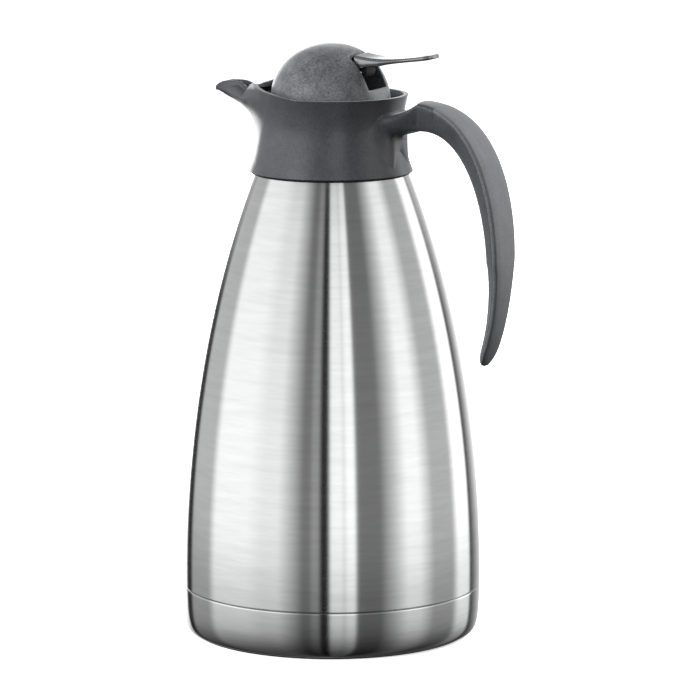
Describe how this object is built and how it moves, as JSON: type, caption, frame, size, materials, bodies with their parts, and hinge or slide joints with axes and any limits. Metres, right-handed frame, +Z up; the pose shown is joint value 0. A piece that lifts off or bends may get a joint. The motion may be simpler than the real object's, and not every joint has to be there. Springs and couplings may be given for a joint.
{
  "type": "thermal carafe",
  "caption": "Double-walled steel carafe with a beaked pouring collar, an open hook handle and a screw-in domed stopper whose rear thumb lever lifts a sprung pouring valve.",
  "frame": {"origin": "centre of the circle that the foot ring stands on", "axes": "+Z up along the bottle's axis, +X towards the handle, -X towards the spout"},
  "size_m": [0.1722, 0.1516, 0.3005],
  "materials": {
    "steel_shell": "satin steel, brushed round the body",
    "vessel_steel": "plain drawn steel",
    "bright_steel": "bright steel wire and turned pins",
    "getter_brass": "dull brazing metal",
    "collar_plastic": "anthracite, satin, fine moulded grain",
    "handle_plastic": "anthracite grey, satin, fine grain",
    "dome_plastic": "anthracite grey, satin, fine grain",
    "lever_plastic": "grey, semi-gloss",
    "inner_plastic": "plain moulded",
    "foot_rubber": "matt black",
    "silicone": "translucent white silicone"
  },
  "bodies": {
    "carafe": {"outer_shell": "steel_shell", "base_cup": "steel_shell", "inner_vessel": "vessel_steel", "getter": "getter_brass", "evacuation_seal": "getter_brass", "foot_ring": "foot_rubber", "spout_collar": "collar_plastic", "collar_gasket": "foot_rubber", "neck_clamp_ring": "inner_plastic", "bowl_seal": "silicone", "handle_grip": "collar_plastic", "handle_cover": "handle_plastic"},
    "stopper_seal": {"stopper_gasket": "silicone"},
    "stopper": {"stopper_body": "inner_plastic", "stopper_cap": "inner_plastic", "stem_seal": "foot_rubber", "dome_cover": "dome_plastic", "lid_screws": "bright_steel", "lever_pin": "bright_steel"},
    "thumb_lever": {"lever": "lever_plastic"},
    "valve": {"valve_stem": "bright_steel", "valve_disc": "inner_plastic", "valve_gasket": "silicone", "stem_cap": "inner_plastic", "valve_spring": "bright_steel"}
  },
  "joints": [
    {"name": "stopper_rise", "type": "slide", "parent": "carafe", "child": "stopper_seal", "axis": [0, 0, 1], "range_m": [0, 0.009]},
    {"name": "stopper_turn", "type": "hinge", "parent": "stopper_seal", "child": "stopper", "pos_m": [0, 0, 0.25], "axis": [0, 0, 1], "range_deg": [0, 270]},
    {"name": "lever_press", "type": "hinge", "parent": "stopper", "child": "thumb_lever", "pos_m": [0.019, 0, 0.287], "axis": [0, 1, 0], "range_deg": [0, 15]},
    {"name": "valve_lift", "type": "slide", "parent": "stopper", "child": "valve", "axis": [0, 0, 1], "range_m": [0, 0.00497], "stiffness_N_per_m": 500, "springref_m": -0.006, "deforming": ["valve_spring"]}
  ],
  "couplings": [
    {"joint": "stopper_rise", "follows": "stopper_turn", "m_per_rad": 0.0019099},
    {"joint": "lever_press", "follows": "valve_lift", "rad_per_m": 52.632}
  ]
}
